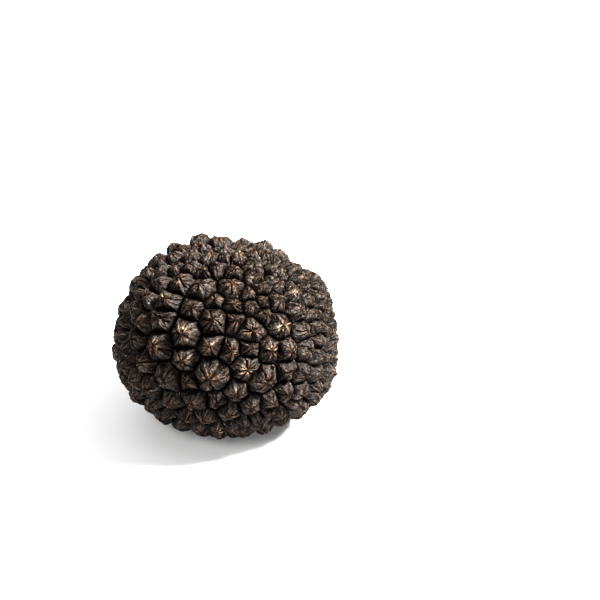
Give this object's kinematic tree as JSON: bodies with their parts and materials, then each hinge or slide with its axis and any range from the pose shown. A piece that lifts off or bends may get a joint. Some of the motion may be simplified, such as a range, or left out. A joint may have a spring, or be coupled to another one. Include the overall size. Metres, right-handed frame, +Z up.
{
  "type": "black truffle",
  "caption": "Whole black truffle: a lumpy, nearly round body covered in polygonal pyramid-shaped warts with narrow dark valleys between them, resting on a small worn spot.",
  "frame": {"origin": "middle of the bounding box in plan, at the height of the worn spot it rests on", "axes": "+Z up; +X to the right, along the longest width; -Y towards the front, which carries the largest warts"},
  "size_m": [0.0506, 0.048, 0.0426],
  "materials": {
    "rind": "matte"
  },
  "bodies": {
    "root": {"truffle": "rind"}
  },
  "joints": []
}
